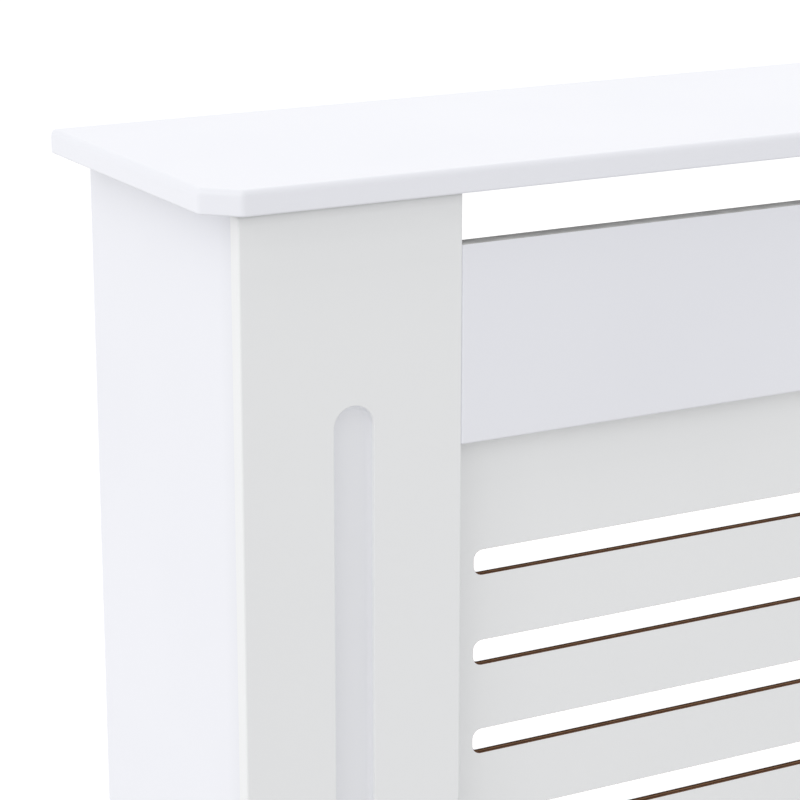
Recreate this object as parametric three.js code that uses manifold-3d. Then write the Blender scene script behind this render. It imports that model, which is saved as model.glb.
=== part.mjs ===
// Radiator cover cabinet: a flat-pack casing of lacquered MDF that stands against a wall, over a radiator.
// Millimetres, +Z up. +X runs along the front to the viewer's right, the front faces -Y and the wall is
// at +Y. The origin is on the floor, under the middle of the cover.
import * as THREE from "three";
import { mergeVertices } from "three/addons/utils/BufferGeometryUtils.js";
import Module from "manifold-3d";

const wasm = await Module();
wasm.setup();

// --- Driving dimensions --------------------------------------------------------------------------

// Whole cover
const overallWidth = 1120;
const overallDepth = 190;
const overallHeight = 815;

// Top board: clipped front corners, a soft top edge and a crisp lower one
const boardThickness = 12;
const boardSideOverhang = 20;
const boardFrontOverhang = 16;
const boardClip = 15; // leg of the 45 degree cut across each front corner
const boardClipRadius = 4;
const boardRearRadius = 3.5;
const boardTopRound = 3;
const boardLowerRound = 1;

// Front frame
const frontThickness = 9; // posts and rails
const postWidth = 116;
const railHeight = 98;
const topAirGap = 27.5; // between the top board and the upper rail
const floorAirGap = 27.5; // between the floor and the lower rail
const arris = 1; // eased edge of every painted board

// Groove milled down the face of each post
const grooveWidth = 21;
const grooveDepth = 4.5;
const grooveEndMargin = 98.5; // from the post's ends to the groove's ends
const grooveFloorRound = 2.5; // cove between the groove's wall and its floor

// Side panels stand back a little from the outer edges of the posts
const sideThickness = 9;
const sideSetback = 1;

// Grille: thin hardboard behind the front frame, with two columns of slots
const grilleThickness = 5;
const grilleLap = 30; // overlap behind the posts and rails
const slotHeight = 13;
const slotPitch = 47;
const slotCornerRadius = 5;
const slotSideMargin = 12.5; // from a post's inner edge to the slots
const slotLeastMargin = 50; // least plain strip between a rail and the nearest slot
const centreWeb = 35; // plain strip between the two columns
const postScrewInset = 40; // from the rails' inner edges to the end screws in the posts
const railScrewSpacing = 510; // between the two grille screws in a rail

// Pine battens inside
const battenSize = 18;
const battenFloorGap = 15;
const battenArris = 0.8;
const battenScrewMargin = 54; // from a corner batten's end to its nearest screw
const cleatWallGap = 10;
const cleatScrewMargin = 27; // from a cleat's end to its nearest screw
const screwStagger = 18; // between two screws that cross in one batten
const stiffenerWidth = 30;
const stiffenerThickness = 12;

// Beech dowels between the rails and the posts
const dowelDiameter = 5;
const dowelLength = 25;
const dowelSpacing = 64;
const dowelChamfer = 0.6;

// Steel angle brackets that tie the top board to the wall
const bracketFromEnd = 160; // from the top board's end to the bracket's middle
const bracketWidth = 20;
const bracketLeg = 40;
const bracketDrop = 30;
const bracketThickness = 2;
const bracketBendRadius = 3;
const bracketHoleSpacing = 18;
const bracketFirstHole = 13; // from the wall face to the first screw
const wallHoleDiameter = 5;
const wallHoleDrop = 18; // from the top board's underside to the wall screw's hole

// Fasteners and the room around them
const panScrew = { head: 7, headHeight: 2.4, shank: 3.5, point: 3, recess: 3.6, countersunk: false };
const woodScrew = { head: 7.6, headHeight: 2.8, shank: 4, point: 5, recess: 4, countersunk: true };
const recessWidth = 1;
const recessDepth = 1.5;
const crownShare = 0.6; // flat of a pan head against its whole width
const screwCover = 2; // board left in front of a screw's point
const fitGap = 0.3; // around dowels, shanks and countersunk heads
const seatGap = 0.1; // under a pan head
const sides = 12; // facets round a screw, dowel or drilled hole

// --- Places worked out from them -----------------------------------------------------------------

const wallY = overallDepth / 2;
const faceY = -overallDepth / 2 + boardFrontOverhang; // outer face of posts and rails
const frameBackY = faceY + frontThickness;
const grilleBackY = frameBackY + grilleThickness;
const bodyTop = overallHeight - boardThickness;
const bodyHalf = overallWidth / 2 - boardSideOverhang; // outer edges of the posts
const openHalf = bodyHalf - postWidth; // inner edges of the posts
const sideInnerX = bodyHalf - sideSetback - sideThickness;
const upperRail = { top: bodyTop - topAirGap, bottom: bodyTop - topAirGap - railHeight };
const lowerRail = { top: floorAirGap + railHeight, bottom: floorAirGap };
const openHeight = upperRail.bottom - lowerRail.top;
const slotCount = Math.floor((openHeight - 2 * slotLeastMargin - slotHeight) / slotPitch) + 1;
const slotLength = openHalf - slotSideMargin - centreWeb / 2;
const hands = [
  { word: "left", sign: -1 },
  { word: "right", sign: 1 },
];

// --- Materials -----------------------------------------------------------------------------------

const lacqueredMdf = new THREE.MeshStandardMaterial({ color: 0xf2f3f8, roughness: 0.45, metalness: 0 });
const facedHardboard = new THREE.MeshStandardMaterial({ color: 0xeff0f5, roughness: 0.5, metalness: 0 });
const pine = new THREE.MeshStandardMaterial({ color: 0xd9bc8c, roughness: 0.7, metalness: 0 });
const beech = new THREE.MeshStandardMaterial({ color: 0xc99f6f, roughness: 0.65, metalness: 0 });
const zincSteel = new THREE.MeshStandardMaterial({ color: 0xc4c7cb, roughness: 0.35, metalness: 0.9 });

// --- From geometry to solids and back ------------------------------------------------------------

// A closed geometry as a solid: only positions count, and triangles without area are dropped.
function solidOf(geometry) {
  const bare = geometry.index ? geometry.toNonIndexed() : geometry.clone();
  bare.deleteAttribute("normal");
  bare.deleteAttribute("uv");
  const merged = mergeVertices(bare, 1e-4);
  const corners = merged.index.array;
  const kept = [];
  for (let i = 0; i < corners.length; i += 3) {
    const [a, b, c] = corners.slice(i, i + 3);
    if (a !== b && b !== c && c !== a) kept.push(a, b, c);
  }
  const vertProperties = merged.attributes.position.array;
  const triVerts = new Uint32Array(kept);
  return new wasm.Manifold(new wasm.Mesh({ numProp: 3, vertProperties, triVerts }));
}

function geometryOf(solid) {
  const { vertProperties, triVerts } = solid.getMesh();
  const geometry = new THREE.BufferGeometry();
  geometry.setAttribute("position", new THREE.BufferAttribute(new Float32Array(vertProperties), 3));
  geometry.setIndex(new THREE.BufferAttribute(new Uint32Array(triVerts), 1));
  geometry.computeVertexNormals();
  return geometry;
}

// --- Shapes --------------------------------------------------------------------------------------

// A convex outline whose corners, given anticlockwise as [x, y, radius], are rounded by true arcs.
function roundedOutline(corners) {
  const shape = new THREE.Shape();
  corners.forEach(([x, y, radius], i) => {
    const corner = new THREE.Vector2(x, y);
    const [beforeX, beforeY] = corners.at(i - 1);
    const [afterX, afterY] = corners[(i + 1) % corners.length];
    const back = new THREE.Vector2(beforeX, beforeY).sub(corner).normalize();
    const on = new THREE.Vector2(afterX, afterY).sub(corner).normalize();
    const halfAngle = Math.acos(THREE.MathUtils.clamp(back.dot(on), -1, 1)) / 2;
    const start = corner.clone().addScaledVector(back, radius / Math.tan(halfAngle));
    const toCentre = back.clone().add(on).normalize();
    const centre = corner.clone().addScaledVector(toCentre, radius / Math.sin(halfAngle));
    const from = start.clone().sub(centre).angle();
    shape.absarc(centre.x, centre.y, radius, from, from + Math.PI - 2 * halfAngle, false);
  });
  return shape;
}

function rectangle(width, height, radius) {
  const [x, y] = [width / 2, height / 2];
  return roundedOutline([
    [x, -y, radius],
    [x, y, radius],
    [-x, y, radius],
    [-x, -y, radius],
  ]);
}

// A plate of the outline, from z = 0 up to its thickness, with both rims rounded to the same radius.
function roundedPlate(shape, thickness, rim, curveSegments, rimSegments) {
  const plate = new THREE.ExtrudeGeometry(shape, {
    depth: thickness - 2 * rim,
    bevelThickness: rim,
    bevelSize: rim,
    bevelOffset: -rim,
    bevelSegments: rimSegments,
    curveSegments,
  });
  return plate.translate(0, 0, rim);
}

// A board filling size, centred, with every edge eased. Its thickness is its least side.
function easedBoard(size, ease) {
  const thickness = Math.min(size.x, size.y, size.z);
  const arcs = ease * 1.5;
  const lay = (width, height) => {
    const flat = roundedPlate(rectangle(width, height, arcs), thickness, ease, 1, 2);
    return flat.translate(0, 0, -thickness / 2);
  };
  if (thickness === size.y) return lay(size.x, size.z).rotateX(Math.PI / 2);
  if (thickness === size.x) return lay(size.y, size.z).rotateX(Math.PI / 2).rotateZ(Math.PI / 2);
  return lay(size.x, size.y);
}

// A solid of revolution from [radius, z] points that run up the axis.
function turned(profile) {
  const points = profile.map(([radius, z]) => new THREE.Vector2(radius, z));
  return new THREE.LatheGeometry(points, sides).rotateX(Math.PI / 2);
}

// --- The cover's pieces --------------------------------------------------------------------------

const cover = new THREE.Group();
const boards = new Map(); // name -> { solid, centre, material, group }

function section(name) {
  const group = new THREE.Group();
  group.name = name;
  cover.add(group);
  return group;
}

const topSection = section("top");
const frontSection = section("front");
const sideSection = section("sides");
const fixingSection = section("fixings");

// Registers a board whose solid is centred on `centre`, so that fasteners can be drilled into it.
function addBoard(name, solid, centre, material, group) {
  boards.set(name, { solid, centre, material, group });
}

function addBox(name, low, high, ease, material, group) {
  const centre = new THREE.Vector3().addVectors(low, high).multiplyScalar(0.5);
  const size = new THREE.Vector3().subVectors(high, low);
  addBoard(name, solidOf(easedBoard(size, ease)), centre, material, group);
}

// Turns +Z to direction, with its foot at place.
function poseAlong(place, direction) {
  const turn = new THREE.Quaternion().setFromUnitVectors(new THREE.Vector3(0, 0, 1), direction);
  return new THREE.Matrix4().compose(place, turn, new THREE.Vector3(1, 1, 1));
}

// Cuts the geometry, given along +Z, out of each named board.
function drill(names, geometry, place, direction) {
  const cutter = solidOf(geometry.clone().applyMatrix4(poseAlong(place, direction)));
  for (const name of names) {
    const board = boards.get(name);
    const { x, y, z } = board.centre;
    board.solid = board.solid.subtract(cutter.translate(-x, -y, -z));
  }
}

function addFixing(name, geometry, material, place, direction) {
  const mesh = new THREE.Mesh(geometry, material);
  mesh.name = name;
  mesh.applyMatrix4(poseAlong(place, direction));
  fixingSection.add(mesh);
}

// --- Screws and dowels ---------------------------------------------------------------------------

// A screw along +Z with its bearing plane at z = 0 and its point below; `room` turns it into its hole.
function screwProfile(kind, length, room) {
  const shank = kind.shank / 2 + room;
  const head = kind.head / 2 + room;
  const tip = -length - room;
  const shoulder = -length + kind.point;
  if (kind.countersunk) {
    const neck = -kind.headHeight - room;
    return [[0, tip], [shank, shoulder], [shank, neck], [head, -room], [head, room], [0, room]];
  }
  const shaft = [[0, tip], [shank, shoulder], [shank, room]];
  if (room > 0) return [...shaft, [0, room]];
  const crown = kind.headHeight;
  return [...shaft, [head, 0], [head, crown / 2], [head * crownShare, crown], [0, crown]];
}

function screwGeometry(kind, length) {
  const blank = solidOf(turned(screwProfile(kind, length, 0)));
  const top = kind.countersunk ? 0 : kind.headHeight;
  const bar = new THREE.BoxGeometry(kind.recess, recessWidth, 2 * recessDepth).translate(0, 0, top);
  const cross = solidOf(bar).add(solidOf(bar.clone().rotateZ(Math.PI / 2)));
  return geometryOf(blank.subtract(cross));
}

// Drives a screw through the named boards. Its head sits at `place` and points along `outward`.
function drive(name, kind, length, place, outward, boardNames) {
  drill(boardNames, turned(screwProfile(kind, length, fitGap)), place, outward);
  const seat = place.clone().addScaledVector(outward, kind.countersunk ? 0 : seatGap);
  addFixing(name, screwGeometry(kind, length), zincSteel, seat, outward);
}

function dowelProfile(room) {
  const radius = dowelDiameter / 2 + room;
  const half = dowelLength / 2 + room;
  const land = half - dowelChamfer;
  return [[0, -half], [radius - dowelChamfer, -half], [radius, -land], [radius, land],
    [radius - dowelChamfer, half], [0, half]];
}

// --- Top board -----------------------------------------------------------------------------------

function boardOutline() {
  const [x, y] = [overallWidth / 2, overallDepth / 2];
  return roundedOutline([
    [-x + boardClip, -y, boardClipRadius],
    [x - boardClip, -y, boardClipRadius],
    [x, -y + boardClip, boardClipRadius],
    [x, y, boardRearRadius],
    [-x, y, boardRearRadius],
    [-x, -y + boardClip, boardClipRadius],
  ]);
}

// The soft top edge and the crisp lower edge come from two plates, each a spare thickness too deep,
// that share only the board itself.
function addTopBoard() {
  const spare = boardThickness;
  const softTop = roundedPlate(boardOutline(), boardThickness + spare, boardTopRound, 2, 4);
  const crispBase = roundedPlate(boardOutline(), boardThickness + spare, boardLowerRound, 2, 2);
  softTop.translate(0, 0, -boardThickness / 2 - spare);
  crispBase.translate(0, 0, -boardThickness / 2);
  const centre = new THREE.Vector3(0, 0, bodyTop + boardThickness / 2);
  addBoard("top_board", solidOf(softTop).intersect(solidOf(crispBase)), centre, lacqueredMdf, topSection);
}

// --- Front frame ---------------------------------------------------------------------------------

// The groove as a round-ended bar that stands out of the post's face, with its inner rim rounded.
function grooveCutter() {
  const length = bodyTop - 2 * grooveEndMargin;
  const radius = grooveWidth / 2;
  const outline = new THREE.Shape();
  outline.absarc(0, length / 2 - radius, radius, 0, Math.PI, false);
  outline.absarc(0, -length / 2 + radius, radius, Math.PI, 2 * Math.PI, false);
  const spare = 2 * grooveFloorRound;
  return roundedPlate(outline, grooveDepth + spare, grooveFloorRound, 12, 3);
}

function addPost({ word, sign }) {
  const size = new THREE.Vector3(postWidth, frontThickness, bodyTop);
  const x = sign * (bodyHalf - postWidth / 2);
  const centre = new THREE.Vector3(x, faceY + frontThickness / 2, bodyTop / 2);
  const cutter = grooveCutter().rotateX(Math.PI / 2).translate(0, -frontThickness / 2 + grooveDepth, 0);
  const solid = solidOf(easedBoard(size, arris)).subtract(solidOf(cutter));
  addBoard(`front_post_${word}`, solid, centre, lacqueredMdf, frontSection);
}

function addRail(name, { top, bottom }) {
  const low = new THREE.Vector3(-openHalf, faceY, bottom);
  const high = new THREE.Vector3(openHalf, frameBackY, top);
  addBox(name, low, high, arris, lacqueredMdf, frontSection);
  const z = (top + bottom) / 2;
  for (const { word, sign } of hands)
    for (const [place, offset] of [["upper", dowelSpacing / 2], ["lower", -dowelSpacing / 2]]) {
      const middle = new THREE.Vector3(sign * openHalf, faceY + frontThickness / 2, z + offset);
      const along = new THREE.Vector3(sign, 0, 0);
      drill([name, `front_post_${word}`], turned(dowelProfile(fitGap)), middle, along);
      addFixing(`${name}_dowel_${word}_${place}`, turned(dowelProfile(0)), beech, middle, along);
    }
}

// --- Grille --------------------------------------------------------------------------------------

// The middle height of slot number `row`, counted down from the top; the stack is centred in its opening.
function slotZ(row) {
  const middle = (upperRail.bottom + lowerRail.top) / 2;
  return middle + ((slotCount - 1) / 2 - row) * slotPitch;
}

function addGrille() {
  const halfWidth = openHalf + grilleLap;
  const [low, high] = [lowerRail.top - grilleLap, upperRail.bottom + grilleLap];
  const middle = (low + high) / 2;
  const outline = new THREE.Shape();
  outline.moveTo(-halfWidth, low - middle);
  outline.lineTo(halfWidth, low - middle);
  outline.lineTo(halfWidth, high - middle);
  outline.lineTo(-halfWidth, high - middle);
  outline.closePath();
  for (const { sign } of hands)
    for (let row = 0; row < slotCount; row++) {
      const slot = rectangle(slotLength, slotHeight, slotCornerRadius).getPoints(3);
      const [x, z] = [sign * (centreWeb + slotLength) / 2, slotZ(row) - middle];
      outline.holes.push(new THREE.Path(slot.map((point) => point.clone().add(new THREE.Vector2(x, z)))));
    }
  const sheet = new THREE.ExtrudeGeometry(outline, { depth: grilleThickness, bevelEnabled: false });
  sheet.translate(0, 0, -grilleThickness / 2).rotateX(Math.PI / 2);
  const centre = new THREE.Vector3(0, frameBackY + grilleThickness / 2, middle);
  addBoard("grille_panel", solidOf(sheet), centre, facedHardboard, frontSection);
}

// Pan-head screws through the grille into the posts and rails, and two longer ones through the stiffener.
function fixGrille() {
  const towardsWall = new THREE.Vector3(0, 1, 0);
  const bite = grilleBackY - faceY - screwCover;
  const [top, bottom] = [upperRail.bottom - postScrewInset, lowerRail.top + postScrewInset];
  for (const { word, sign } of hands) {
    const heights = { top, middle: (top + bottom) / 2, bottom };
    for (const [place, z] of Object.entries(heights)) {
      const at = new THREE.Vector3(sign * (openHalf + grilleLap / 2), grilleBackY, z);
      const name = `grille_screw_post_${word}_${place}`;
      drive(name, panScrew, bite, at, towardsWall, ["grille_panel", `front_post_${word}`]);
    }
    for (const [rail, z] of [["upper_rail", upperRail.bottom], ["lower_rail", lowerRail.top]]) {
      const lap = (rail === "upper_rail" ? 1 : -1) * (grilleLap / 2);
      const at = new THREE.Vector3((sign * railScrewSpacing) / 2, grilleBackY, z + lap);
      drive(`grille_screw_${rail}_${word}`, panScrew, bite, at, towardsWall, ["grille_panel", rail]);
    }
  }
  const stiffenerBackY = grilleBackY + stiffenerThickness;
  const low = new THREE.Vector3(-stiffenerWidth / 2, grilleBackY, lowerRail.top - grilleLap);
  const high = new THREE.Vector3(stiffenerWidth / 2, stiffenerBackY, upperRail.bottom + grilleLap);
  addBox("grille_stiffener", low, high, battenArris, pine, frontSection);
  const length = bite + stiffenerThickness;
  const ends = [
    ["upper_rail", high.z - grilleLap / 2],
    ["lower_rail", low.z + grilleLap / 2],
  ];
  for (const [rail, z] of ends) {
    const at = new THREE.Vector3(0, stiffenerBackY, z);
    const names = ["grille_stiffener", "grille_panel", rail];
    drive(`stiffener_screw_${rail}`, woodScrew, length, at, towardsWall, names);
  }
}

// --- Sides ---------------------------------------------------------------------------------------

// The span from one distance to another on the hand's own side of the middle, as [least, greatest] X.
function across(sign, from, to) {
  return [Math.min(sign * from, sign * to), Math.max(sign * from, sign * to)];
}

function addSide({ word, sign }) {
  const panel = `side_panel_${word}`;
  const [panelLow, panelHigh] = across(sign, sideInnerX, sideInnerX + sideThickness);
  const panelFoot = new THREE.Vector3(panelLow, frameBackY, 0);
  const panelHead = new THREE.Vector3(panelHigh, wallY, bodyTop);
  addBox(panel, panelFoot, panelHead, arris, lacqueredMdf, sideSection);

  // An upright batten in the corner ties the side panel to the post.
  const batten = `corner_batten_${word}`;
  const [low, high] = across(sign, sideInnerX - battenSize, sideInnerX);
  const battenBackY = frameBackY + battenSize;
  const battenFoot = new THREE.Vector3(low, frameBackY, battenFloorGap);
  const battenHead = new THREE.Vector3(high, battenBackY, bodyTop);
  addBox(batten, battenFoot, battenHead, battenArris, pine, sideSection);

  // A cleat along the top of the side panel carries the top board's screws.
  const cleat = `top_cleat_${word}`;
  const cleatUnder = bodyTop - battenSize;
  const cleatEnd = wallY - cleatWallGap;
  const cleatFront = new THREE.Vector3(low, battenBackY, cleatUnder);
  addBox(cleat, cleatFront, new THREE.Vector3(high, cleatEnd, bodyTop), battenArris, pine, sideSection);

  const middleX = sign * (sideInnerX - battenSize / 2);
  const inwardX = sign * (sideInnerX - battenSize);
  const intoPost = battenSize + frontThickness - screwCover;
  const intoSide = battenSize + sideThickness - screwCover;
  const intoBoard = battenSize + boardThickness - screwCover;
  const towardsMiddle = new THREE.Vector3(-sign, 0, 0);
  const towardsWall = new THREE.Vector3(0, 1, 0);
  const down = new THREE.Vector3(0, 0, -1);
  const battenScrews = [
    ["top", bodyTop - battenScrewMargin, -screwStagger],
    ["bottom", battenFloorGap + battenScrewMargin, screwStagger],
  ];
  for (const [place, z, stagger] of battenScrews) {
    const onBack = new THREE.Vector3(middleX, battenBackY, z);
    const onInside = new THREE.Vector3(inwardX, frameBackY + battenSize / 2, z + stagger);
    const post = [batten, `front_post_${word}`];
    const side = [batten, panel];
    drive(`batten_post_screw_${word}_${place}`, woodScrew, intoPost, onBack, towardsWall, post);
    drive(`batten_side_screw_${word}_${place}`, woodScrew, intoSide, onInside, towardsMiddle, side);
  }
  const cleatScrews = [
    ["front", battenBackY + cleatScrewMargin, screwStagger],
    ["rear", cleatEnd - cleatScrewMargin, -screwStagger],
  ];
  for (const [place, y, stagger] of cleatScrews) {
    const below = new THREE.Vector3(middleX, y, cleatUnder);
    const onInside = new THREE.Vector3(inwardX, y + stagger, bodyTop - battenSize / 2);
    const side = [cleat, panel];
    drive(`cleat_board_screw_${word}_${place}`, woodScrew, intoBoard, below, down, [cleat, "top_board"]);
    drive(`cleat_side_screw_${word}_${place}`, woodScrew, intoSide, onInside, towardsMiddle, side);
  }
}

// --- Wall brackets -------------------------------------------------------------------------------

// A bent strip, drawn in Y and Z: one leg lies under the top board, the other hangs down the wall.
function bracketShape() {
  const inner = bracketBendRadius;
  const outer = bracketBendRadius + bracketThickness;
  const strip = new THREE.Shape();
  strip.moveTo(-bracketLeg, 0);
  strip.lineTo(-bracketLeg, -bracketThickness);
  strip.lineTo(-outer, -bracketThickness);
  strip.absarc(-outer, -outer, inner, Math.PI / 2, 0, true);
  strip.lineTo(-bracketThickness, -bracketDrop);
  strip.lineTo(0, -bracketDrop);
  strip.absarc(-outer, -outer, outer, 0, Math.PI / 2, false);
  return strip;
}

function addBracket({ word, sign }) {
  const name = `wall_bracket_${word}`;
  const centre = new THREE.Vector3(sign * (overallWidth / 2 - bracketFromEnd), wallY, bodyTop);
  const strip = new THREE.ExtrudeGeometry(bracketShape(), {
    depth: bracketWidth,
    bevelEnabled: false,
    curveSegments: 3,
  });
  // Drawn x becomes Y and drawn y becomes Z, so that the strip's width lies along X.
  const upright = new THREE.Matrix4().makeBasis(
    new THREE.Vector3(0, 1, 0),
    new THREE.Vector3(0, 0, 1),
    new THREE.Vector3(1, 0, 0),
  );
  strip.translate(0, 0, -bracketWidth / 2).applyMatrix4(upright);
  addBoard(name, solidOf(strip), centre, zincSteel, fixingSection);
  const radius = wallHoleDiameter / 2;
  const wallHole = new THREE.CylinderGeometry(radius, radius, 4 * bracketThickness, sides);
  const wallHolePlace = new THREE.Vector3(centre.x, wallY, bodyTop - wallHoleDrop);
  drill([name], wallHole.rotateX(Math.PI / 2), wallHolePlace, new THREE.Vector3(0, 1, 0));
  const bite = bracketThickness + boardThickness - screwCover;
  const insets = { rear: bracketFirstHole, front: bracketFirstHole + bracketHoleSpacing };
  for (const [place, inset] of Object.entries(insets)) {
    const at = new THREE.Vector3(centre.x, wallY - inset, bodyTop - bracketThickness);
    const down = new THREE.Vector3(0, 0, -1);
    drive(`bracket_screw_${word}_${place}`, panScrew, bite, at, down, [name, "top_board"]);
  }
}

// --- Assembly ------------------------------------------------------------------------------------

addTopBoard();
hands.forEach(addPost);
addRail("upper_rail", upperRail);
addRail("lower_rail", lowerRail);
addGrille();
fixGrille();
hands.forEach(addSide);
hands.forEach(addBracket);

for (const [name, { solid, centre, material, group }] of boards) {
  const mesh = new THREE.Mesh(geometryOf(solid), material);
  mesh.name = name;
  mesh.position.copy(centre);
  group.add(mesh);
}

export default cover;
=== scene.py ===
# Radiator cover cabinet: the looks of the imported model.
# Metres, in the frame's own axes: +X along the front, +Y to the wall, +Z up, origin on the floor.
import math

import bpy
import numpy as np
from mathutils.geometry import tessellate_polygon
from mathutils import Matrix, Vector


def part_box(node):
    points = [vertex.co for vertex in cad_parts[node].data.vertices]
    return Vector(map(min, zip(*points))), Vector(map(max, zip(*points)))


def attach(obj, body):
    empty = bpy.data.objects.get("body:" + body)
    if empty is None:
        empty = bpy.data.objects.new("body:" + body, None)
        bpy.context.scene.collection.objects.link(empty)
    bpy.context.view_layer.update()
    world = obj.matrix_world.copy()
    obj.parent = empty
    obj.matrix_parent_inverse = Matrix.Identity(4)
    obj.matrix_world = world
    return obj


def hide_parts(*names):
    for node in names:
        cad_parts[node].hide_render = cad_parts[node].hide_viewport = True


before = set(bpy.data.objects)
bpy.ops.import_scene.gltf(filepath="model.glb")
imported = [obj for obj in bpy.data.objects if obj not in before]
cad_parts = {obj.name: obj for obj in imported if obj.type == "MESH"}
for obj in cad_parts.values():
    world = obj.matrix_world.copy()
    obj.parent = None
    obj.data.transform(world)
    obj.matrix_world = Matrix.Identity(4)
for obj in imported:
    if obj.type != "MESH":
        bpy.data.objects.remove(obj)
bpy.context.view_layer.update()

mm = 0.001


def toLinear(code):
    # sRGB hex to linear red, green, blue and an alpha of 1
    shares = [int(code[i:i + 2], 16) / 255 for i in (1, 3, 5)]
    return [s / 12.92 if s <= 0.04045 else ((s + 0.055) / 1.055) ** 2.4 for s in shares] + [1.0]


def addNode(tree, kind, inputs=None, stops=(), **settings):
    # One node with its settings. An input is a value, a hex colour, or what it is linked to: a node, for
    # the first output it has in use, or one of its outputs. Stops are a colour ramp's places and colours.
    node = tree.nodes.new("ShaderNode" + kind)
    for name, value in settings.items():
        setattr(node, name, value)
    for socket, value in (inputs or {}).items():
        if isinstance(value, bpy.types.Node):
            value = next(output for output in value.outputs if output.enabled)
        if isinstance(value, bpy.types.NodeSocket):
            tree.links.new(value, node.inputs[socket])
        else:
            node.inputs[socket].default_value = toLinear(value) if isinstance(value, str) else value
    for number, (place, code) in enumerate(stops):
        ramp = node.color_ramp.elements
        stop = ramp[number] if number < 2 else ramp.new(place)
        stop.position = place
        stop.color = toLinear(code)
    return node


# the numbers of a Mix node's two colour inputs, and the distance between a Wave texture's waves at scale 1
under, over = 6, 7
waveSpacing = math.pi / 10


def newMaterial(name):
    # an empty material, its node tree and the place of every point on the object
    material = bpy.data.materials.new(name)
    material.use_nodes = True
    tree = material.node_tree
    tree.nodes.clear()
    return material, tree, addNode(tree, "TexCoord").outputs["Object"]


def finishMaterial(tree, inputs):
    shader = addNode(tree, "BsdfPrincipled", inputs)
    addNode(tree, "OutputMaterial", {"Surface": shader})


# Sprayed satin lacquer on fine MDF: an even, slightly blue white with a soft sheen. Close up it shows the
# orange peel of the spray, about 2 mm across, and a sheen that drifts a little from place to place.
lacquerLook = {"white": "#F4F5FB", "shade": "#F3F4FA", "drift": 140 * mm, "peel": 2.2 * mm,
               "peelDepth": 0.012 * mm, "stipple": 0.5 * mm, "stippleDepth": 0.002 * mm,
               "glossy": 0.34, "dull": 0.42}

# Some looks have tints: rows of (axis, start, end, stops), whose stops are the ramp of a tint from start
# to end. They, and the white of each face, were tuned until the render's levels under this plain light met
# the photograph's. So the tints are painted light and shade, and the whites are lit and shaded copies of
# one lacquer; both stay put under any other light. With the tints taken out, the coat is plain.

# The grille's sheet has a thin baked film of the same white, duller and finer than the spray. Its tints are
# painted shade beside the posts and painted light just under the upper rail.
paintedShadeBesidePosts = [(0, "#F3F3F3"), (0.1, "#FAFAFA"), (0.4, "#FDFDFD"), (1, "#FFFFFF")]
paintedLightUnderRail = ("Z", 655 * mm, 677.5 * mm, [(0, "#F6F6F6"), (0.71, "#FAFAFA"), (0.85, "#FDFDFD"),
                                         (0.93, "#FFFFFF"), (1, "#FFFFFF")])
filmLightAndShadeLook = {**lacquerLook, "white": "#FDFEFF", "shade": "#FCFDFE", "peel": 1.1 * mm,
            "peelDepth": 0.006 * mm, "glossy": 0.4, "dull": 0.47,
            "paintedLightAndShade": [("X", -424 * mm, -374 * mm, paintedShadeBesidePosts), ("X", 424 * mm, 374 * mm, paintedShadeBesidePosts), paintedLightUnderRail]}

# The sheet's back has the same film, a shade greyer.
filmBackLook = {**filmLightAndShadeLook, "white": "#F1F2F6", "shade": "#EEEFF2", "paintedLightAndShade": []}

# Faces that point into the cover, which the photograph doesn't show, get one thin coat: duller and greyer.
thinCoatLook = {**lacquerLook, "white": "#EDEDF0", "shade": "#E9E9EA", "drift": 120 * mm,
                "peel": 0.9 * mm, "peelDepth": 0.014 * mm, "glossy": 0.55, "dull": 0.68}

# The rails' sawn edges are a neutral grey in the photograph, greyest along the rear. Here that is a matt
# thin coat with the raised fibres of the board, a guessed cause. Part of its grey, and all of the
# darkening towards the rear, is painted shade.
paintedShadeToRear = ("Y", -79 * mm, -70 * mm, [(0, "#FFFFFF"), (1, "#C7C7C7")])
sawnEdgeGreyAndShadeLook = {**lacquerLook, "white": "#C9C9C8", "shade": "#BBBBBA", "drift": 9 * mm,
               "peel": 0.7 * mm, "peelDepth": 0.03 * mm, "glossy": 0.7, "dull": 0.8, "paintedLightAndShade": [paintedShadeToRear]}

# The tint along the top board's upper edge is painted shade that dims its rounded arris.
paintedShadeOnUpperArris = ("Z", 812 * mm, 815 * mm, [(0, "#FFFFFF"), (0.34, "#F9F9F9"), (0.71, "#F5F5F5"),
                                        (0.87, "#F6F6F6"), (0.967, "#FAFAFA"), (1, "#FFFFFF")])
topLacquerShadedLook = {**lacquerLook, "paintedLightAndShade": [paintedShadeOnUpperArris]}

# The posts' tint is painted shade under the top board, strong in the last 4 mm; below that a band of
# painted light is lightest 8 mm under the board and fades out 33 mm under it. Lower down the tint's
# grey and the posts' whiter white cancel out.
paintedShadeAndLightUnderTop = ("Z", 770 * mm, 803 * mm, [(0, "#F6F6F6"), (0.5, "#FAFAFA"), (0.65, "#FDFDFD"),
                                        (0.76, "#FFFFFF"), (0.82, "#FBFBFB"), (0.86, "#F4F4F4"),
                                        (0.89, "#DCDCDC"), (0.93, "#C2C2C2"), (1, "#9A9A9A")])
postLightAndShadeLook = {**lacquerLook, "white": "#FDFEFF", "shade": "#FCFDFE", "paintedLightAndShade": [paintedShadeAndLightUnderTop]}

# The side panels' tints are painted shade behind the posts' proud edges and under the top board.
paintedShadeUnderTop = ("Z", 797 * mm, 803 * mm, [(0, "#FFFFFF"), (1, "#BCBCBC")])
paintedShadeBehindPosts = ("Y", -56 * mm, -70 * mm, [(0, "#FFFFFF"), (1, "#FAFAFA")])
panelShadedLook = {**lacquerLook, "white": "#F3F4FA", "shade": "#F2F3F9", "paintedLightAndShade": [paintedShadeBehindPosts, paintedShadeUnderTop]}

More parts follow.
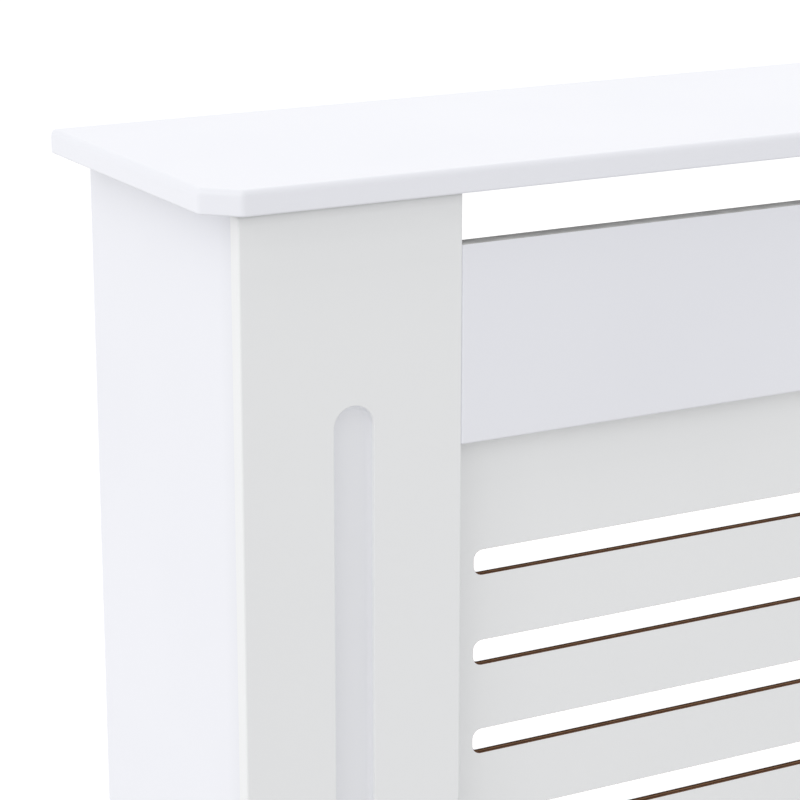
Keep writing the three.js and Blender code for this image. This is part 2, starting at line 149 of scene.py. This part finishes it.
# The groove is a little duller than a face. Its white and tint are painted shade that makes it greyer than
# a face, and painted light that lifts it over its top end, to a touch above the face's white.
paintedGrooveShadeAndLight = ("Z", 690 * mm, 704 * mm, [(0, "#F7F7F7"), (0.6, "#F7F7F7"), (1, "#FFFFFF")])
grooveLightAndShadeLook = {**lacquerLook, "white": "#F8F9FD", "shade": "#F7F8FC", "glossy": 0.45, "dull": 0.52,
                  "paintedLightAndShade": [paintedGrooveShadeAndLight]}


def makeLacquer(name, look):
    material, tree, place = newMaterial(name)
    drift = addNode(tree, "TexNoise", {"Vector": place, "Scale": 1 / look["drift"], "Detail": 2})
    peel = addNode(tree, "TexNoise", {"Vector": place, "Scale": 1 / look["peel"], "Detail": 1.5})
    stipple = addNode(tree, "TexNoise", {"Vector": place, "Scale": 1 / look["stipple"], "Detail": 2})
    colour = addNode(tree, "ValToRGB", {"Fac": drift}, [(0.35, look["white"]), (0.65, look["shade"])])
    sheen = addNode(tree, "MapRange", {"Value": drift, "From Min": 0.3, "From Max": 0.7,
                                       "To Min": look["glossy"], "To Max": look["dull"]})
    waves = addNode(tree, "Bump", {"Height": peel, "Distance": look["peelDepth"]})
    grit = addNode(tree, "Bump", {"Height": stipple, "Distance": look["stippleDepth"], "Normal": waves})
    # Each row of tints multiplies the colour by a ramp of painted light and shade along one axis.
    for axis, start, end, stops in look.get("paintedLightAndShade", []):
        along = addNode(tree, "SeparateXYZ", {"Vector": place}).outputs[axis]
        share = addNode(tree, "MapRange", {"Value": along, "From Min": start, "From Max": end})
        paintedShading = addNode(tree, "ValToRGB", {"Fac": share}, stops)
        colour = addNode(tree, "Mix", {"Factor": 1.0, under: colour, over: paintedShading}, data_type="RGBA",
                         blend_type="MULTIPLY")
    finishMaterial(tree, {"Base Color": colour, "Roughness": sheen, "IOR": 1.5, "Normal": grit})
    return material


satinLacquer = makeLacquer("satinLacquerOnMdf", lacquerLook)
topLacquer = makeLacquer("satinLacquerAndPaintedShadeOnTop", topLacquerShadedLook)
postLacquer = makeLacquer("satinLacquerAndPaintedLightAndShadeOnPosts", postLightAndShadeLook)
panelLacquer = makeLacquer("satinLacquerAndPaintedShadeOnPanels", panelShadedLook)
grooveLightAndShadeLacquer = makeLacquer("satinLacquerAndPaintedLightAndShadeInGroove", grooveLightAndShadeLook)
bakedFilm = makeLacquer("bakedWhiteFilm", filmLightAndShadeLook)
bakedFilmBack = makeLacquer("bakedWhiteFilmBack", filmBackLook)
thinCoat = makeLacquer("thinCoatOnMdf", thinCoatLook)
sawnEdgeGreyAndShade = makeLacquer("thinCoatAndPaintedShadeOnSawnMdf", sawnEdgeGreyAndShadeLook)

# Cut edge of hardboard: pressed brown fibres lying along the sheet, with dense dark skins. To the eye it
# is a matt dark brown band with a lighter tobacco stripe in it. Layers say how much of the skin's colour
# there is from the front face to the back.
hardboardLook = {"core": "#7E5A3D", "fibre": "#976E4A", "pit": "#533824", "skin": "#442B1B",
                 "ragged": 0.12, "fibreLength": 3.6 * mm, "fibreWidth": 0.3 * mm,
                 "fibreRelief": 0.05 * mm,
                 "layers": [(0, "#9A9A9A"), (0.14, "#9A9A9A"), (0.24, "#FFFFFF"), (0.38, "#FFFFFF"),
                            (0.46, "#000000"), (0.6, "#000000"), (0.68, "#FFFFFF"), (1, "#FFFFFF")]}


def makeHardboardEdge(name, look, front, back):
    # front and back are the places of the sheet's two faces along Y
    material, tree, place = newMaterial(name)
    ratio = look["fibreWidth"] / look["fibreLength"]
    lying = addNode(tree, "Mapping", {"Vector": place, "Scale": (ratio, 1, 1)})
    fibres = addNode(tree, "TexNoise", {"Vector": lying, "Scale": 1 / look["fibreWidth"], "Detail": 3,
                                        "Roughness": 0.65, "Distortion": 0.4})
    clumps = addNode(tree, "TexNoise", {"Vector": lying, "Scale": 0.3 / look["fibreWidth"], "Detail": 2})
    depth = addNode(tree, "SeparateXYZ", {"Vector": place}).outputs["Y"]
    share = addNode(tree, "MapRange", {"Value": depth, "From Min": front, "From Max": back,
                                       "To Min": -look["ragged"] / 2, "To Max": 1 - look["ragged"] / 2})
    wavy = addNode(tree, "Math", {0: clumps, 1: look["ragged"], 2: share}, operation="MULTIPLY_ADD")
    skin = addNode(tree, "ValToRGB", {"Fac": wavy}, look["layers"])
    core = addNode(tree, "ValToRGB", {"Fac": fibres}, [(0.3, look["pit"]), (0.5, look["core"]),
                                                       (0.75, look["fibre"])])
    colour = addNode(tree, "Mix", {"Factor": skin, under: core, over: look["skin"]}, data_type="RGBA")
    relief = addNode(tree, "Bump", {"Height": fibres, "Distance": look["fibreRelief"]})
    finishMaterial(tree, {"Base Color": colour, "Roughness": 0.9, "IOR": 1.45,
                          "Specular IOR Level": 0.2, "Normal": relief})
    return material


# Planed pine: pale straw with narrow brown late-wood rings, fine pores and the planer's dull sheen. The
# rings run round a pith outside the stick, so its sides show lines and its ends show arcs. Fast-grown
# timber has rings about 3 mm apart. They swell round the stick's one knot.
pineLook = {"early": "#EAD8B3", "middle": "#DFC596", "late": "#C8A06C", "ring": 2.8 * mm, "bend": 14,
            "stretch": 0.06, "knot": "#7A4A27", "knotRadius": 3.4 * mm, "rim": "#A8733F",
            "rimRadius": 5 * mm, "softness": 1.4 * mm, "swell": 9 * mm, "swellRadius": 22 * mm,
            "pore": 0.35 * mm, "relief": 0.03 * mm}


def makePine(name, look, length, pith, knot):
    # length is the axis the stick runs along, pith a point on the heart's line, knot a point on a face
    material, tree, place = newMaterial(name)
    scale = [1, 1, 1]
    scale[length] = look["stretch"]
    centred = addNode(tree, "VectorMath", {0: place, 1: pith}, operation="SUBTRACT")
    grain = addNode(tree, "Mapping", {"Vector": centred, "Scale": scale})
    away = addNode(tree, "VectorMath", {0: place, 1: knot}, operation="DISTANCE").outputs["Value"]
    push = addNode(tree, "MapRange", {"Value": away, "From Min": 0, "From Max": look["swellRadius"],
                                      "To Min": look["swell"], "To Max": 0},
                   interpolation_type="SMOOTHSTEP")
    moved = addNode(tree, "VectorMath", {0: grain, 1: push}, operation="ADD")
    rings = addNode(tree, "TexWave", {"Vector": moved, "Scale": waveSpacing / look["ring"],
                                      "Distortion": look["bend"], "Detail": 1, "Detail Scale": 0.4},
                    wave_type="RINGS", rings_direction="XYZ"[length], wave_profile="SAW")
    pores = addNode(tree, "TexNoise", {"Vector": grain, "Scale": 1 / look["pore"], "Detail": 2})
    wood = addNode(tree, "ValToRGB", {"Fac": rings}, [(0.1, look["early"]), (0.62, look["early"]),
                                                      (0.84, look["middle"]), (0.94, look["late"])])
    streaks = addNode(tree, "ValToRGB", {"Fac": pores}, [(0.35, "#EFE9E0"), (0.6, "#FFFFFF")])
    wood = addNode(tree, "Mix", {"Factor": 1.0, under: wood, over: streaks}, data_type="RGBA",
                   blend_type="MULTIPLY")
    rim = addNode(tree, "MapRange", {"Value": away, "From Min": look["rimRadius"],
                                     "From Max": look["rimRadius"] - look["softness"]})
    rimmed = addNode(tree, "Mix", {"Factor": rim, under: wood, over: look["rim"]}, data_type="RGBA")
    heart = addNode(tree, "MapRange", {"Value": away, "From Min": look["knotRadius"],
                                       "From Max": look["knotRadius"] - look["softness"]})
    colour = addNode(tree, "Mix", {"Factor": heart, under: rimmed, over: look["knot"]},
                     data_type="RGBA")
    dull = addNode(tree, "MapRange", {"Value": pores, "From Min": 0.3, "From Max": 0.7,
                                      "To Min": 0.56, "To Max": 0.74})
    relief = addNode(tree, "Bump", {"Height": pores, "Distance": look["relief"]})
    finishMaterial(tree, {"Base Color": colour, "Roughness": dull, "IOR": 1.45, "Normal": relief})
    return material


# Turned beech: an even pinkish brown with short darker ray flecks along the dowel.
beechLook = {"wood": "#D2A678", "dark": "#B98558", "fleck": 1.2 * mm, "relief": 0.04 * mm}


def makeBeech(name, look):
    material, tree, place = newMaterial(name)
    along = addNode(tree, "Mapping", {"Vector": place, "Scale": (0.15, 1, 1)})
    rays = addNode(tree, "TexNoise", {"Vector": along, "Scale": 1 / look["fleck"], "Detail": 2})
    colour = addNode(tree, "ValToRGB", {"Fac": rays}, [(0.5, look["wood"]), (0.68, look["dark"])])
    relief = addNode(tree, "Bump", {"Height": rays, "Distance": look["relief"]})
    finishMaterial(tree, {"Base Color": colour, "Roughness": 0.62, "IOR": 1.45, "Normal": relief})
    return material


turnedBeech = makeBeech("turnedBeech", beechLook)

# Bright zinc plate over pressed steel: a light grey metal with a faint blue cast, cloudy in patches of a
# few millimetres, with fine drawing lines left by the die.
zincLook = {"bright": "#CBCED3", "cloud": "#BFC3CA", "patch": 6 * mm, "line": 0.25 * mm,
            "lineDepth": 0.003 * mm, "smooth": 0.22, "rough": 0.33}


def makeZinc(name, look):
    material, tree, place = newMaterial(name)
    patches = addNode(tree, "TexNoise", {"Vector": place, "Scale": 1 / look["patch"], "Detail": 3})
    drawn = addNode(tree, "Mapping", {"Vector": place, "Scale": (1, 1, 0.1)})
    lines = addNode(tree, "TexNoise", {"Vector": drawn, "Scale": 1 / look["line"], "Detail": 1})
    colour = addNode(tree, "ValToRGB", {"Fac": patches}, [(0.4, look["bright"]), (0.65, look["cloud"])])
    polish = addNode(tree, "MapRange", {"Value": patches, "From Min": 0.3, "From Max": 0.7,
                                        "To Min": look["smooth"], "To Max": look["rough"]})
    relief = addNode(tree, "Bump", {"Height": lines, "Distance": look["lineDepth"]})
    finishMaterial(tree, {"Base Color": colour, "Metallic": 1.0, "Roughness": polish, "Normal": relief})
    return material


zincPlate = makeZinc("brightZincPlate", zincLook)
print("materials made")


def roundPath(corners, steps):
    # A closed convex path, anticlockwise, through corners given as (u, v, radius). Each corner is an arc:
    # its centre is the corner less radius times the two edge normals' sum over one plus their product,
    # and its points are centre plus radius times a direction that turns from one normal to the next.
    rows = np.array(corners, float)
    point, radius = rows[:, :2], rows[:, 2]
    edge = np.roll(point, -1, axis=0) - point
    edge /= np.linalg.norm(edge, axis=1, keepdims=True)
    after = np.stack([edge[:, 1], -edge[:, 0]], axis=1)
    before = np.roll(after, 1, axis=0)
    cosine = (before * after).sum(axis=1)
    sine = before[:, 0] * after[:, 1] - before[:, 1] * after[:, 0]
    centre = point - (radius / (1 + cosine))[:, None] * (before + after)
    start = np.arctan2(before[:, 1], before[:, 0])
    angle = start[:, None] + np.arctan2(sine, cosine)[:, None] * np.linspace(0, 1, steps + 1)
    direction = np.stack([np.cos(angle), np.sin(angle)], axis=2).reshape(-1, 2)
    repeat = steps + 1
    return np.repeat(centre, repeat, axis=0), np.repeat(radius, repeat), direction


def rectanglePath(low, high, radius, steps):
    # a rectangle from its low to its high corner, with four equal arcs
    corners = [(high[0], low[1], radius), (high[0], high[1], radius),
               (low[0], high[1], radius), (low[0], low[1], radius)]
    return roundPath(corners, steps)


def roundedSide(thickness, upper, lower, steps):
    # The side of a plate from its top face down: a quarter circle, a straight and a quarter circle, as
    # inset from the path, height, and the lean of the surface's normal above the plate's plane.
    top = np.linspace(math.pi / 2, 0, steps + 1)
    base = np.linspace(0, -math.pi / 2, steps + 1)
    inset = np.concatenate([upper * (1 - np.cos(top)), lower * (1 - np.cos(base))])
    height = np.concatenate([thickness - upper * (1 - np.sin(top)), lower * (1 + np.sin(base))])
    return inset, height, np.concatenate([top, base])


def covedSide(thickness, depth, rim, cove, steps):
    # The side of a groove from the plate's top face down: a rounded rim, a straight and a cove.
    top = np.linspace(math.pi / 2, 0, steps + 1)
    base = np.linspace(0, math.pi / 2, steps + 1)
    inset = np.concatenate([rim * (1 - np.cos(top)), -cove * (1 - np.cos(base))])
    height = np.concatenate([thickness - rim * (1 - np.sin(top)),
                             thickness - depth + cove * (1 - np.sin(base))])
    return inset, height, np.concatenate([top, base])


def carry(path, side, hollow=False):
    # The side's points carried round the path: the path's arc centre plus (radius less inset) times its
    # direction, and the height. Round a hollow, insets go outwards and the normals point inwards.
    centre, radius, direction = path
    inset, height, lean = side
    sign = -1 if hollow else 1
    reach = radius[None, :] - sign * inset[:, None]
    flat = centre[None] + reach[:, :, None] * direction[None]
    points = np.dstack([flat, np.broadcast_to(height[:, None], reach.shape)])
    across = sign * np.cos(lean)[:, None, None] * direction[None]
    normals = np.dstack([across, np.broadcast_to(np.sin(lean)[:, None], reach.shape)])
    return points.reshape(-1, 3), normals.reshape(-1, 3)


def bandFaces(rows, columns, start, hollow=False):
    # quads between the rows, closed round the path, facing away from the material
    index = start + np.arange(rows * columns).reshape(rows, columns)
    following = np.roll(index, -1, axis=1)
    quads = np.stack([index[:-1], index[1:], following[1:], following[:-1]], axis=2).reshape(-1, 4)
    return quads[:, ::-1] if hollow else quads


def capFaces(points, loops, upwards):
    # triangles that fill the first loop of point numbers and leave the other loops open
    corners = np.concatenate(loops)[np.array(tessellate_polygon([points[loop] for loop in loops]))]
    first, second, third = (points[corners[:, k]][:, :2] for k in range(3))
    one, other = second - first, third - first
    turn = one[:, 0] * other[:, 1] - one[:, 1] * other[:, 0]
    wrong = turn < 0 if upwards else turn > 0
    corners[wrong] = corners[wrong][:, ::-1]
    return corners


def platePiece(path, side, holes=(), grooves=()):
    # A plate in its own plane (u, v) with its thickness along w. Holes go right through and grooves end in
    # a floor; both are (path, side) pairs. Returns points, normals, faces and the zone of each face.
    shells = [(path, side, "edge")]
    shells += [(*hole, "wall") for hole in holes] + [(*groove, "groove") for groove in grooves]
    points, normals, faces, zones, upper, lower = [], [], [], [], [], []
    start = 0
    for route, profile, kind in shells:
        hollow = kind != "edge"
        shellPoints, shellNormals = carry(route, profile, hollow)
        rows, columns = len(profile[0]), len(route[1])
        points.append(shellPoints)
        normals.append(shellNormals)
        faces += bandFaces(rows, columns, start, hollow).tolist()
        lean = (profile[2][:-1] + profile[2][1:]) / 2
        kinds = np.full(rows - 1, kind, "<U6")
        if kind == "edge":
            kinds[lean > 0.2] = "brink"
            kinds[lean > 1.1] = "front"
            kinds[lean < -0.2] = "rear"
        if kind == "groove":
            kinds[:rows // 2] = "rim"
        rise = route[2][:, 1]
        sides = np.select([rise > 0.7, rise < -0.7], [" top", " base"], " end")
        zones += np.char.add(kinds[:, None], sides[None]).ravel().tolist()
        ring = start + np.arange(rows * columns).reshape(rows, columns)
        upper.append(ring[0])
        if kind == "groove":
            faces.append(ring[-1].tolist())
            zones.append(kind)
        else:
            lower.append(ring[-1])
        start += rows * columns
    points, normals = np.concatenate(points), np.concatenate(normals)
    for loops, upwards, kind in ((upper, True, "face"), (lower, False, "back")):
        cap = capFaces(points, loops, upwards)
        faces += cap.tolist()
        zones += [kind] * len(cap)
    return points, normals, faces, np.array(zones)


def makeObject(name, points, faces, materials, choice=None, normals=None):
    # a closed mesh at the world's origin that rides on the cover's one body
    mesh = bpy.data.meshes.new(name)
    mesh.from_pydata(points.tolist(), [], faces)
    for material in materials:
        mesh.materials.append(material)
    if choice is not None:
        mesh.polygons.foreach_set("material_index", np.asarray(choice, np.int32))
    mesh.shade_smooth()
    if normals is not None:
        mesh.normals_split_custom_set_from_vertices(normals.tolist())
    mesh.update()
    piece = bpy.data.objects.new(name, mesh)
    bpy.context.scene.collection.objects.link(piece)
    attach(piece, "root")
    return piece


def facing(side):
    # the frame's axes for a plate's own u, v and w, w being the way its face looks
    return np.array({"up": [(1, 0, 0), (0, 1, 0), (0, 0, 1)], "front": [(1, 0, 0), (0, 0, 1), (0, -1, 0)],
                     "left": [(0, -1, 0), (0, 0, 1), (-1, 0, 0)],
                     "right": [(0, 1, 0), (0, 0, 1), (1, 0, 0)]}[side], float)


def ownBox(node, axes):
    # a node's box along a plate's own axes, lowest and highest
    low, high = (np.array(corner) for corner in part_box(node))
    return np.sort(np.stack([axes @ low, axes @ high]), axis=0)


def makePlate(name, node, axes, plate, base, materials, zoneMaterials, otherwise=0):
    # a plate whose own w starts at base; the material of each face goes by its zone, or the zone's kind
    points, normals, faces, zones = plate
    points = points + np.array([0, 0, base])
    choice = [zoneMaterials.get(zone, zoneMaterials.get(zone.split()[0], otherwise)) for zone in zones]
    piece = makeObject(name, points @ axes, faces, materials, choice, normals @ axes)
    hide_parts(node)


# Plain boards: their saw-cut edges are eased with a quarter round, and the faces inside get a thin coat.
# Material numbers are 0 for the face, 1 for the inside, 2 for a sawn edge and 3 for a groove.
boardLook = {"arris": 1.0 * mm, "corner": 1.0 * mm, "steps": 6}
paintedZones = {"back": 1, "rear": 1, "groove": 3}
sawnZones = {**paintedZones, "edge top": 2, "brink top": 2, "rear top": 2, "edge base": 2, "rear base": 2}


def makeBoard(node, side, look, coat, zoneMaterials=paintedZones, grooves=()):
    axes = facing(side)
    low, high = ownBox(node, axes)
    path = rectanglePath(low[:2], high[:2], look["corner"], look["steps"])
    profile = roundedSide(high[2] - low[2], look["arris"], look["arris"], look["steps"])
    plate = platePiece(path, profile, grooves=grooves)
    materials = [coat, thinCoat, sawnEdgeGreyAndShade, grooveLightAndShadeLacquer]
    makePlate(node + "_board", node, axes, plate, low[2], materials, zoneMaterials)


# The top board: clipped front corners, a soft upper edge and a crisp lower one, lacquered all over.
topLook = {"clip": 15 * mm, "clipRadius": 4 * mm, "rearRadius": 3.5 * mm, "upperRound": 3 * mm,
           "lowerRound": 1 * mm, "cornerSteps": 10, "roundSteps": 10}


def makeTop(look):
    axes = facing("up")
    low, high = ownBox("top_board", axes)
    (x0, y0), (x1, y1) = low[:2], high[:2]
    clip, soft, rear = look["clip"], look["clipRadius"], look["rearRadius"]
    path = roundPath([(x0 + clip, y0, soft), (x1 - clip, y0, soft), (x1, y0 + clip, soft),
                      (x1, y1, rear), (x0, y1, rear), (x0, y0 + clip, soft)], look["cornerSteps"])
    side = roundedSide(high[2] - low[2], look["upperRound"], look["lowerRound"], look["roundSteps"])
    makePlate("topBoard", "top_board", axes, platePiece(path, side), low[2],
              [topLacquer, thinCoat], {"back": 1})


makeTop(topLook)

# Each post's groove is cut with a round-nosed cutter: a crisp rim, a short wall and a cove to the floor.
grooveLook = {"width": 21 * mm, "endMargin": 98.5 * mm, "depth": 4.5 * mm, "rim": 0.5 * mm,
              "cove": 2.5 * mm, "endSteps": 20, "roundSteps": 6, "flat": 0.05 * mm}


def makePost(node, look):
    low, high = ownBox(node, facing("front"))
    middle, half = (low[0] + high[0]) / 2, look["width"] / 2
    start, end = (middle - half, low[1] + look["endMargin"]), (middle + half, high[1] - look["endMargin"])
    path = rectanglePath(start, end, half - look["flat"], look["endSteps"])
    side = covedSide(high[2] - low[2], look["depth"], look["rim"], look["cove"], look["roundSteps"])
    makeBoard(node, "front", boardLook, postLacquer, grooves=[(path, side)])


makePost("front_post_left", grooveLook)
makePost("front_post_right", grooveLook)
makeBoard("upper_rail", "front", boardLook, satinLacquer, sawnZones)
makeBoard("lower_rail", "front", boardLook, satinLacquer, sawnZones)
makeBoard("side_panel_left", "left", boardLook, panelLacquer)
makeBoard("side_panel_right", "right", boardLook, panelLacquer)
print("boards made")

# The grille: a thin white-faced sheet with two columns of slots. The cut leaves its brown core bare.
grilleLook = {"slotHeight": 13 * mm, "slotPitch": 47 * mm, "slotRadius": 5 * mm, "slotMargin": 12.5 * mm,
              "centreWeb": 35 * mm, "rows": 10, "arris": 0.15 * mm, "cornerSteps": 8, "arrisSteps": 2}


def makeGrille(look):
    axes = facing("front")
    low, high = ownBox("grille_panel", axes)
    railLow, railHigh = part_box("lower_rail")[1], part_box("upper_rail")[0]
    middle = (railLow[2] + railHigh[2]) / 2
    side = roundedSide(high[2] - low[2], look["arris"], look["arris"], look["arrisSteps"])
    path = rectanglePath(low[:2], high[:2], look["arris"] * 2, look["arrisSteps"])
    inner, outer = look["centreWeb"] / 2, railLow[0] - look["slotMargin"]
    half = look["slotHeight"] / 2
    holes = []
    for row in range(look["rows"]):
        v = middle + (row - (look["rows"] - 1) / 2) * look["slotPitch"]
        for start, end in ((-outer, -inner), (inner, outer)):
            slot = rectanglePath((start, v - half), (end, v + half), look["slotRadius"], look["cornerSteps"])
            holes.append((slot, side))
    edge = makeHardboardEdge("rawHardboardEdge", hardboardLook, -high[2], -low[2])
    makePlate("grilleSheet", "grille_panel", axes, platePiece(path, side, holes),
              low[2], [bakedFilm, edge, bakedFilmBack], {"face": 0, "back": 2}, 1)


makeGrille(grilleLook)
print("grille made")

# Pan-head and countersunk screws with a cross recess, threaded down to a sharp point.
panLook = {"head": 3.5 * mm, "crown": 2.4 * mm, "shank": 1.75 * mm, "pitch": 1.6 * mm}
flatLook = {"head": 3.8 * mm, "crown": 2.8 * mm, "shank": 2.0 * mm, "pitch": 1.9 * mm}
recessLook = {"arm": 1.9 * mm, "width": 0.42 * mm, "depth": 1.3 * mm, "softness": 0.16 * mm}
threadLook = {"depth": 0.24, "point": 2.2, "rowsPerTurn": 6, "columns": 28, "headRows": 16}


def screwRows(look, length, countersunk):
    # Radius and height down the screw's profile; the bearing plane is height 0 and the point is below.
    # A pan head's crown is a flattened half ellipse over a short side; a countersunk one is flat and
    # narrows to the shank. The shaft is straight and ends in a cone.
    share = np.linspace(0, 1, threadLook["headRows"] + 1)[1:]
    head, crown, shank = look["head"], look["crown"], look["shank"]
    neck = np.linspace(0, 1, 5)[1:]
    top = -crown if countersunk else 0.0
    if countersunk:
        radius = np.concatenate([share * head, head - (head - shank) * neck])
        height = np.concatenate([0 * share, -crown * neck])
    else:
        radius = np.concatenate([share * head, [head, shank]])
        height = np.concatenate([crown * (0.25 + 0.75 * (1 - share ** 4) ** 0.5), [0, 0]])
    turns = int((length + top) / look["pitch"] * threadLook["rowsPerTurn"])
    shaft = top - (length + top) * np.linspace(0, 1, turns + 1)[1:-1]
    taper = np.clip((shaft + length) / (threadLook["point"] * shank), 0, 1)
    return np.concatenate([radius, shank * taper]), np.concatenate([height, shaft]), len(radius)


def screwSurface(look, length, countersunk):
    # Points are radius times (cos, sin) of the turn and the profile's height. On the head the height drops
    # by the recess, deepest in the middle of two crossed arms. On the shaft the radius shrinks between the
    # turns of the thread, whose phase is height over pitch less turn over a full turn.
    radius, height, headRows = screwRows(look, length, countersunk)
    topRows = threadLook["headRows"]
    turn = np.arange(threadLook["columns"]) * 2 * math.pi / threadLook["columns"]
    radius = np.repeat(radius[:, None], len(turn), axis=1)
    height = np.repeat(height[:, None], len(turn), axis=1)
    phase = (height[headRows:] / look["pitch"] - turn / (2 * math.pi)) % 1
    valley = 1 - np.clip(1 - np.abs(phase - 0.5) * 3.2, 0, 1)
    radius[headRows:] *= 1 - threadLook["depth"] * valley
    x, y = radius * np.cos(turn), radius * np.sin(turn)
    near, far = np.minimum(abs(x), abs(y))[:topRows], np.maximum(abs(x), abs(y))[:topRows]
    inArm = np.clip((recessLook["width"] - near) / recessLook["softness"] + 0.5, 0, 1)
    inReach = np.clip((recessLook["arm"] - far) / recessLook["arm"], 0, 1)
    height[:topRows] -= recessLook["depth"] * inArm * inReach ** 0.6
    rows, columns = radius.shape
    crownPoint = [0, 0, (0 if countersunk else look["crown"]) - recessLook["depth"]]
    points = np.concatenate([np.dstack([x, y, height]).reshape(-1, 3), [crownPoint, [0, 0, -length]]])
    faces = bandFaces(rows, columns, 0).tolist()
    crown, tip, last = rows * columns, rows * columns + 1, (rows - 1) * columns
    following = (np.arange(columns) + 1) % columns
    faces += [[crown, i, j] for i, j in enumerate(following)]
    faces += [[tip, last + j, last + i] for i, j in enumerate(following)]
    return points, faces


def makeScrew(node, outward, countersunk):
    # outward is the way the head looks; the head's end of the node's box is where its top lies
    low, high = (np.array(corner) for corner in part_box(node))
    out = np.array(outward, float)
    look = flatLook if countersunk else panLook
    size = abs(out @ (high - low))
    crown = 0 if countersunk else look["crown"]
    points, faces = screwSurface(look, size - crown, countersunk)
    side = np.roll(abs(out), 1)
    axes = np.array([side, np.cross(out, side), out])
    bearing = (low + high) / 2 + out * (size / 2 - crown)
    screw = makeObject(node + "_turned", points @ axes + bearing, faces, [zincPlate])
    screw.data.set_sharp_from_angle(angle=math.radians(38))
    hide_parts(node)


# which way each set of screws looks, and whether its heads are sunk into the wood
screwSets = {"grille_screw": ((0, 1, 0), False), "stiffener_screw": ((0, 1, 0), True),
             "batten_post_screw": ((0, 1, 0), True), "bracket_screw": ((0, 0, -1), False),
             "cleat_board_screw": ((0, 0, -1), True), "batten_side_screw": (None, True),
             "cleat_side_screw": (None, True)}
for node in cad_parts:
    for start, (outward, countersunk) in screwSets.items():
        if node.startswith(start):
            inward = (1, 0, 0) if "_left_" in node else (-1, 0, 0)
            makeScrew(node, outward or inward, countersunk)
print("screws made")

# The planed sticks with their countersinks, the folded brackets and the dowels keep their own shapes and
# only get their wood or metal. Each stick has its pith, a point on the heart's line, and its knot.
stickPlaces = {"corner_batten_left": ((-0.49, -0.02, 0), (-0.512, -0.060, 0.31)),
               "corner_batten_right": ((0.545, -0.03, 0), (0.519, -0.052, 0.56)),
               "top_cleat_left": ((-0.50, 0, 0.83), (-0.512, 0.030, 0.795)),
               "top_cleat_right": ((0.54, 0, 0.76), (0.512, -0.020, 0.790)),
               "grille_stiffener": ((0.03, -0.02, 0), (-0.005, -0.053, 0.47))}


def dress(node, material):
    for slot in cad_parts[node].material_slots:
        slot.material = material


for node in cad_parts:
    if node in stickPlaces:
        low, high = (np.array(corner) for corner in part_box(node))
        length = int(np.argmax(high - low))
        dress(node, makePine("planedPine_" + node, pineLook, length, *stickPlaces[node]))
    if node.startswith("wall_bracket"):
        dress(node, zincPlate)
    if "_dowel_" in node:
        dress(node, turnedBeech)
print("sticks, brackets and dowels dressed")

# Pale studio paper. The camera sees it white, with the cover's shadow still on it.
floorLook = {"half": 30.0, "paper": "#CBCBCB", "seen": "#FFFFFF", "lift": 0.09}


def seenRays(tree):
    # 1 for a ray from the camera, or one that a shiny or clear surface passes on, and 0 for the others
    rays = addNode(tree, "LightPath").outputs
    passed = addNode(tree, "Math", {0: rays["Is Glossy Ray"], 1: rays["Is Transmission Ray"]},
                     operation="MAXIMUM")
    return addNode(tree, "Math", {0: rays["Is Camera Ray"], 1: passed}, operation="MAXIMUM")


def makeFloor(look):
    half = look["half"]
    mesh = bpy.data.meshes.new("floor")
    mesh.from_pydata([(-half, -half, 0), (half, -half, 0), (half, half, 0), (-half, half, 0)], [],
                     [(0, 1, 2, 3)])
    floor = bpy.data.objects.new("floor", mesh)
    bpy.context.scene.collection.objects.link(floor)
    material, tree, _ = newMaterial("studioPaper")
    seen = seenRays(tree)
    lit = addNode(tree, "BsdfDiffuse", {"Color": look["paper"]})
    white = addNode(tree, "BsdfDiffuse", {"Color": look["seen"]})
    lift = addNode(tree, "Emission", {"Strength": look["lift"]})
    bright = addNode(tree, "AddShader", {0: white, 1: lift})
    mix = addNode(tree, "MixShader", {0: seen, 1: lit, 2: bright})
    addNode(tree, "OutputMaterial", {"Surface": mix})
    mesh.materials.append(material)


makeFloor(floorLook)

# An even white dome, and a broad soft lamp to the left.
lightLook = {"dome": 0.925, "bounces": 2, "side": 0.225, "sideHeight": 26, "sideTurn": 88,
             "sideSoftness": 70}


def makeLight(look):
    world = bpy.data.worlds.new("dome")
    world.use_nodes = True
    tree = world.node_tree
    tree.nodes.clear()
    level = addNode(tree, "MapRange", {"Value": seenRays(tree), "To Min": look["dome"], "To Max": 1})
    glow = addNode(tree, "Background", {"Strength": level})
    glow.inputs["Color"].default_value = (1, 1, 1, 1)
    addNode(tree, "OutputWorld", {"Surface": glow})
    world.cycles.max_bounces = look["bounces"]
    bpy.context.scene.world = world
    lamp = bpy.data.lights.new("leftSoftbox", "SUN")
    lamp.energy = look["side"] * math.pi
    lamp.angle = math.radians(look["sideSoftness"])
    lamp.cycles.max_bounces = look["bounces"]
    holder = bpy.data.objects.new("leftSoftbox", lamp)
    holder.rotation_euler = (math.radians(90 - look["sideHeight"]), 0, -math.radians(look["sideTurn"]))
    bpy.context.scene.collection.objects.link(holder)


makeLight(lightLook)

# The photograph was taken from the left and a little above the top board, with a long lens.
cameraLook = {"place": (-1056.4 * mm, -1165.1 * mm, 1048.9 * mm), "turn": 28.87, "down": 15.53,
              "lens": 123.5}


def makeCamera(look):
    lens = bpy.data.cameras.new("camera")
    lens.lens = look["lens"]
    lens.sensor_width = 36
    lens.clip_end = 200
    camera = bpy.data.objects.new("camera", lens)
    camera.location = look["place"]
    camera.rotation_euler = (math.radians(90 - look["down"]), 0, -math.radians(look["turn"]))
    bpy.context.scene.collection.objects.link(camera)
    bpy.context.scene.camera = camera


makeCamera(cameraLook)
bpy.context.scene.view_settings.view_transform = "Standard"
print("stage, light and camera set")
